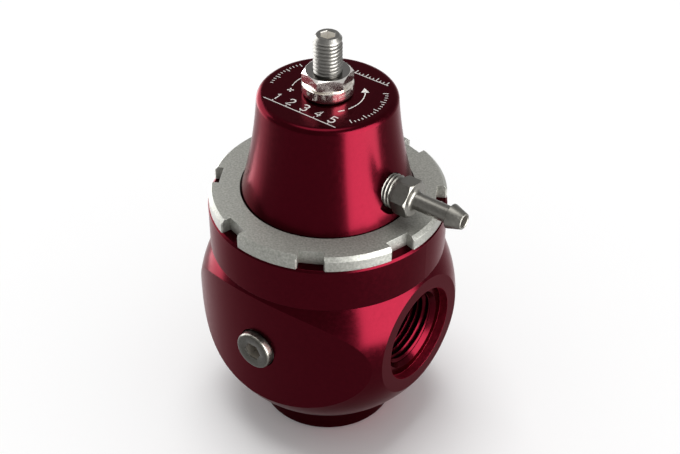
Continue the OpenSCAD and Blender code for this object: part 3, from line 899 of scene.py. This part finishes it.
class REGULATOR_OT_bonnet(bpy.types.Operator):
    """Finish the bonnet and etch its adjusting marks."""

    bl_idname = "regulator.bonnet"
    bl_label = "Bonnet"

    def execute(self, context):
        finish_nodes("bonnet")
        mark = context.scene.regulator_marks
        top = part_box("bonnet")[1].z
        thin = []
        bold = []
        heads = []
        for first, last, sign_at in ARROWS:
            line, head, strokes = turning_arrow(mark, top, first, last, sign_at)
            thin.append(line)
            heads.append(head)
            bold += strokes
        for first, last in SCALES:
            thin += tick_scale(mark, top, first, last)
        rule, digits = digit_rule(mark, top)
        thin += rule + plain_rule(mark, top)
        bold += digits
        values = {"Thickness": mark.thickness, "Finish": finishes()["etched_mark"]}
        meshes = [
            grow(ribbon_tree(), values | {"Width": mark.line}, drawing(thin)),
            grow(ribbon_tree(), values | {"Width": mark.bold}, drawing(bold)),
        ]
        half = mark.thickness / 2
        meshes += [flat_plate(corners, top - half, top + half) for corners in heads]
        add_piece("adjusting_marks", shaded(merged(meshes)), "etched_mark", "bonnet")
        return {"FINISHED"}


class REGULATOR_OT_lock_ring(bpy.types.Operator):
    """Finish the castellated lock ring."""

    bl_idname = "regulator.lock_ring"
    bl_label = "Lock ring"

    def execute(self, context):
        finish_nodes("lock_ring")
        return {"FINISHED"}


class REGULATOR_OT_adjuster(bpy.types.Operator):
    """Make the threaded stud and finish its nut and washer."""

    bl_idname = "regulator.adjuster"
    bl_label = "Adjuster"

    def execute(self, context):
        finish_nodes("sealing_washer", "adjuster_screw")
        # The nut's top face carries painted shade
        finish_nodes("lock_nut", finish="top_shaded_stainless")
        cut = context.scene.regulator_threads
        stud = context.scene.regulator_stud
        low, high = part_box("adjuster_screw")
        crest = (high.x - low.x) / 2
        core = crest - cut.stud_depth
        corner = stud.socket_turn - math.pi / 2
        key = hexagon(stud.socket_across, corner)
        mouth = hexagon(stud.socket_across + STUD_MOUTH, corner)
        land = crest - LAND_INSET
        land_foot = high.z - stud.land
        land_edge = high.z - stud.top_chamfer * CHAMFER_SLOPE
        floor = high.z - stud.socket_depth
        rows = [
            (0, low.z), (core - STUD_LEAD, low.z), (core, low.z + STUD_LEAD),
            (core, land_foot - STUD_RUN_OUT), (land, land_foot),
            (land - LAND_TAPER, land_edge), (land - stud.top_chamfer, high.z),
            (mouth, high.z), (key, high.z - STUD_MOUTH_DEPTH),
            (key, floor), (0, floor - STUD_SOCKET_POINT),
        ]
        # The socket's inside carries painted light
        add_piece(
            "threaded_stud", turned(rows, socket_rows=2), "stud_steel", "adjuster_screw",
            stands_for=True, socket="painted_light_socket",
        )
        reach = land_foot - low.z - STUD_LEAD
        place = along((0, 0, low.z + STUD_LEAD), (0, 0, 1))
        ridge = cut_thread(core, cut.stud_pitch, cut.stud_depth, reach, "stud_steel", place)
        add_piece("stud_thread", ridge, "stud_steel", "adjuster_screw")
        return {"FINISHED"}


class REGULATOR_OT_hose_fitting(bpy.types.Operator):
    """Make the barbed hose fitting."""

    bl_idname = "regulator.hose_fitting"
    bl_label = "Hose fitting"

    def execute(self, context):
        finish_nodes("barb_fitting")
        cut = context.scene.regulator_threads
        size = context.scene.regulator_fitting
        low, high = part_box("barb_fitting")
        place = along((low.x, 0, (low.z + high.z) / 2), (1, 0, 0))
        core = size.thread_radius - cut.stud_depth
        hex_low = size.thread_length
        hex_high = hex_low + size.hex_length
        end = high.x - low.x
        barb = end - size.barb_length
        rows = [
            (size.bore_radius, 0), (core - FITTING_LEAD, 0), (core, FITTING_LEAD),
            (core, hex_low - NECK_GAP),
        ]
        rows += chamfered_hexagon(size.hex_across, size.hex_turn, hex_low, hex_high, size.hex_chamfer)
        for step in range(FILLET_STEPS + 1):
            a = math.pi / 2 * step / FILLET_STEPS
            radius = size.tube_radius + size.fillet * (1 - math.sin(a))
            rows.append((radius, hex_high + size.fillet * (1 - math.cos(a))))
        rows += [
            (size.tube_radius, barb), (size.barb_radius - BARB_EDGE, barb),
            (size.barb_radius, barb + BARB_EDGE), (size.barb_radius, barb + BARB_LAND),
            (size.tip_radius, end - TIP_EDGE),
            (size.tip_radius - TIP_MIDDLE_INSET, end - TIP_MIDDLE_DEPTH),
            (size.tip_radius - TIP_EDGE, end),
            (size.bore_radius + BORE_EDGE, end), (size.bore_radius, end - BORE_EDGE),
        ]
        mesh = placed(turned(rows, loop=True, socket_rows=1), place)
        add_piece(
            "hose_fitting", mesh, "fitting_steel", "barb_fitting", stands_for=True, socket="broached",
        )
        reach = hex_low - FITTING_LEAD - FITTING_GAP
        start = place @ Matrix.Translation((0, 0, FITTING_LEAD))
        ridge = cut_thread(core, cut.stud_pitch, cut.stud_depth, reach, "fitting_steel", start)
        add_piece("fitting_thread", ridge, "fitting_steel", "barb_fitting")
        return {"FINISHED"}


class REGULATOR_OT_gauge_plug(bpy.types.Operator):
    """Make the socket plug of the gauge port."""

    bl_idname = "regulator.gauge_plug"
    bl_label = "Gauge plug"

    def execute(self, context):
        finish_nodes("gauge_plug")
        cut = context.scene.regulator_threads
        size = context.scene.regulator_plug
        low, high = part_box("gauge_plug")
        place = along((0, high.y, (low.z + high.z) / 2), (0, -1, 0))
        rim = (high.x - low.x) / 2
        core = rim - cut.plug_depth
        end = high.y - low.y
        head = end - size.head
        key = hexagon(size.socket_across, 0)
        floor = end - size.socket_depth
        rows = [
            (0, 0), (core - PLUG_LEAD, 0), (core, PLUG_LEAD), (core, head - PLUG_LEAD), (rim, head),
        ]
        for step in range(ROUNDING_STEPS + 1):
            a = math.pi / 2 * step / ROUNDING_STEPS
            radius = rim - size.rounding * (1 - math.cos(a))
            rows.append((radius, end - size.rounding * (1 - math.sin(a))))
        sink = within(key, size.sink_radius - SINK_INSET)
        rows += [
            (size.sink_radius, end), (sink, end - SINK_DEPTH), (key, end - PLUG_MOUTH_DEPTH),
            (key, floor), (0, floor - PLUG_SOCKET_POINT),
        ]
        mesh = placed(turned(rows, socket_rows=2), place)
        add_piece("socket_plug", mesh, "plug_steel", "gauge_plug", stands_for=True, socket="broached")
        reach = head - PLUG_LEAD - PLUG_GAP
        start = place @ Matrix.Translation((0, 0, PLUG_LEAD))
        ridge = cut_thread(core, cut.plug_pitch, cut.plug_depth, reach, "plug_steel", start)
        add_piece("plug_thread", ridge, "plug_steel", "gauge_plug")
        return {"FINISHED"}


class REGULATOR_OT_main_spring(bpy.types.Operator):
    """Wind the main spring in two halves."""

    bl_idname = "regulator.main_spring"
    bl_label = "Main spring"

    def execute(self, context):
        finish_nodes("main_spring")
        size = context.scene.regulator_spring
        low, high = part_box("main_spring")
        radius = (high.x - low.x - size.wire) / 2
        first = low.z + size.wire * size.ground
        last = high.z - size.wire * size.ground
        dead = size.wire * size.closed
        rise = (last - first - 2 * dead) / (size.turns - 2)
        half = int(size.turns * COIL_STEPS / 2)
        points = []
        for step in range(2 * half + 1):
            turn = size.turns * step / (2 * half)
            height = first + dead * min(turn, 1)
            height += rise * min(max(turn - 1, 0), size.turns - 2)
            height += dead * max(turn - size.turns + 1, 0)
            points.append(polar(radius, 360 * turn, height))
        values = {
            "Diameter": size.wire, "Sides": WIRE_SIDES, "Finish": finishes()["spring_steel"],
        }
        middle = (low.z + high.z) / 2
        lower_half = (points[:half + 1], BODY_OF["upper_plate"], "housing", low.z, middle)
        upper_half = (points[half:], "housing", BODY_OF["spring_seat"], middle, high.z)
        for name, part in (("lower_coils", lower_half), ("upper_coils", upper_half)):
            line, below, above, start, end = part
            mesh = grow(wire_tree(), values, drawing([line]))
            for point in mesh.vertices:
                point.co.z = min(max(point.co.z, low.z), high.z)
            piece = add_piece(
                name, shaded(mesh), "spring_steel", "main_spring", stands_for=True, rides=False,
            )
            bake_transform(piece)
        return {"FINISHED"}


class REGULATOR_OT_inner_parts(bpy.types.Operator):
    """Finish the valve, the diaphragm and the seals."""

    bl_idname = "regulator.inner_parts"
    bl_label = "Inner parts"

    def execute(self, context):
        finish_nodes("seat", "seat_o_ring", "valve_disc", "valve_stem", "lower_plate", "diaphragm")
        finish_nodes("upper_plate", "stem_nut", "spring_seat", "thrust_ball", "adjuster_o_ring")
        return {"FINISHED"}


def light_card(name, place, width, height, strength):
    """A soft light panel that faces the object's axis and shows only in reflections."""
    lamp = bpy.data.lights.new(name, "AREA")
    lamp.shape = "RECTANGLE"
    lamp.size = width
    lamp.size_y = height
    lamp.energy = strength * math.pi * width * height
    card = bpy.data.objects.new(name, lamp)
    bpy.context.scene.collection.objects.link(card)
    turn = (Vector((0, 0, place.z)) - place).to_track_quat("-Z", "Y")
    card.matrix_world = Matrix.Translation(place) @ turn.to_matrix().to_4x4()
    card.visible_camera = False
    card.visible_diffuse = False


class REGULATOR_OT_stage(bpy.types.Operator):
    """Set the floor, the lamps and the camera."""

    bl_idname = "regulator.stage"
    bl_label = "Stage"

    def execute(self, context):
        scene = context.scene
        stage = scene.regulator_stage
        mesh = bpy.data.meshes.new("floor")
        sides = ((-1, -1), (1, -1), (1, 1), (-1, 1))
        corners = [(x * FLOOR_HALF, y * FLOOR_HALF, -FLOOR_DROP) for x, y in sides]
        mesh.from_pydata(corners, [], [(0, 1, 2, 3)])
        floor = bpy.data.objects.new("floor", mesh)
        scene.collection.objects.link(floor)
        material, _, shader = node_material("floor")
        shader.inputs["Base Color"].default_value = stage.floor
        shader.inputs["Roughness"].default_value = FLOOR_ROUGHNESS
        shader.inputs["Specular IOR Level"].default_value = 0
        mesh.materials.append(material)
        world = bpy.data.worlds.new("studio")
        world.use_nodes = True
        sky = world.node_tree.nodes["Background"]
        sky.inputs["Color"].default_value = (1, 1, 1, 1)
        sky.inputs["Strength"].default_value = stage.sky
        scene.world = world

        def around(turn, distance, height):
            turn = stage.azimuth + math.radians(turn)
            return Vector((math.sin(turn) * distance, -math.cos(turn) * distance, height))

        lamp = bpy.data.lights.new("overhead", "SUN")
        lamp.energy = stage.sun
        lamp.angle = math.radians(SUN_DEGREES)
        sun = bpy.data.objects.new("overhead", lamp)
        downward = -around(SUN_TURN, SUN_LEAN, 1)
        sun.rotation_euler = downward.to_track_quat("-Z", "Y").to_euler()
        scene.collection.objects.link(sun)
        for name, (turn, distance, middle, width, height) in CARDS.items():
            place = around(turn, distance * MM, middle * MM)
            light_card(name, place, width * MM, height * MM, getattr(stage, name))
        data = bpy.data.cameras.new("camera")
        data.sensor_width = SENSOR_WIDTH
        data.lens = stage.focal_px * data.sensor_width / PHOTO_SIZE[0]
        data.shift_x = (PHOTO_SIZE[0] / 2 - stage.axis_px) / PHOTO_SIZE[0]
        data.clip_start = CLIP_START
        camera = bpy.data.objects.new("camera", data)
        camera.location = around(0, stage.reach, stage.height)
        camera.rotation_euler = (math.pi / 2 - stage.pitch, 0, stage.azimuth)
        scene.collection.objects.link(camera)
        scene.camera = camera
        scene.view_settings.view_transform = "Standard"
        return {"FINISHED"}


class REGULATOR_PT_parts(bpy.types.Panel):
    """Sidebar panel with a button for each group of pieces, and the settings."""

    bl_idname = "REGULATOR_PT_parts"
    bl_label = "Regulator"
    bl_space_type = "VIEW_3D"
    bl_region_type = "UI"
    bl_category = "Regulator"

    def draw(self, context):
        for operator in OPERATORS:
            self.layout.operator(operator.bl_idname)
        for name, group in SETTINGS.items():
            self.layout.label(text=group.__doc__)
            settings = getattr(context.scene, name)
            for key in group.__annotations__:
                self.layout.prop(settings, key)


OPERATORS = (
    REGULATOR_OT_body, REGULATOR_OT_bonnet, REGULATOR_OT_lock_ring, REGULATOR_OT_adjuster,
    REGULATOR_OT_hose_fitting, REGULATOR_OT_gauge_plug, REGULATOR_OT_main_spring,
    REGULATOR_OT_inner_parts, REGULATOR_OT_stage,
)
SETTINGS = {
    "regulator_finish": FinishSettings,
    "regulator_threads": ThreadSettings,
    "regulator_stud": StudSettings,
    "regulator_fitting": FittingSettings,
    "regulator_plug": PlugSettings,
    "regulator_spring": SpringSettings,
    "regulator_marks": MarkSettings,
    "regulator_stage": StageSettings,
}


def register():
    """Register the settings, the operators and the panel."""
    for name, group in SETTINGS.items():
        bpy.utils.register_class(group)
        setattr(bpy.types.Scene, name, bpy.props.PointerProperty(type=group))
    for operator in OPERATORS:
        bpy.utils.register_class(operator)
    bpy.utils.register_class(REGULATOR_PT_parts)


def unregister():
    """Remove the panel, the operators and the settings."""
    bpy.utils.unregister_class(REGULATOR_PT_parts)
    for operator in reversed(OPERATORS):
        bpy.utils.unregister_class(operator)
    for name, group in SETTINGS.items():
        delattr(bpy.types.Scene, name)
        bpy.utils.unregister_class(group)


def main():
    """Build the pieces in order."""
    register()
    bpy.ops.regulator.body()
    bpy.ops.regulator.bonnet()
    bpy.ops.regulator.lock_ring()
    bpy.ops.regulator.adjuster()
    bpy.ops.regulator.hose_fitting()
    bpy.ops.regulator.gauge_plug()
    bpy.ops.regulator.main_spring()
    bpy.ops.regulator.inner_parts()
    bpy.ops.regulator.stage()


if __name__ == "__main__":
    main()
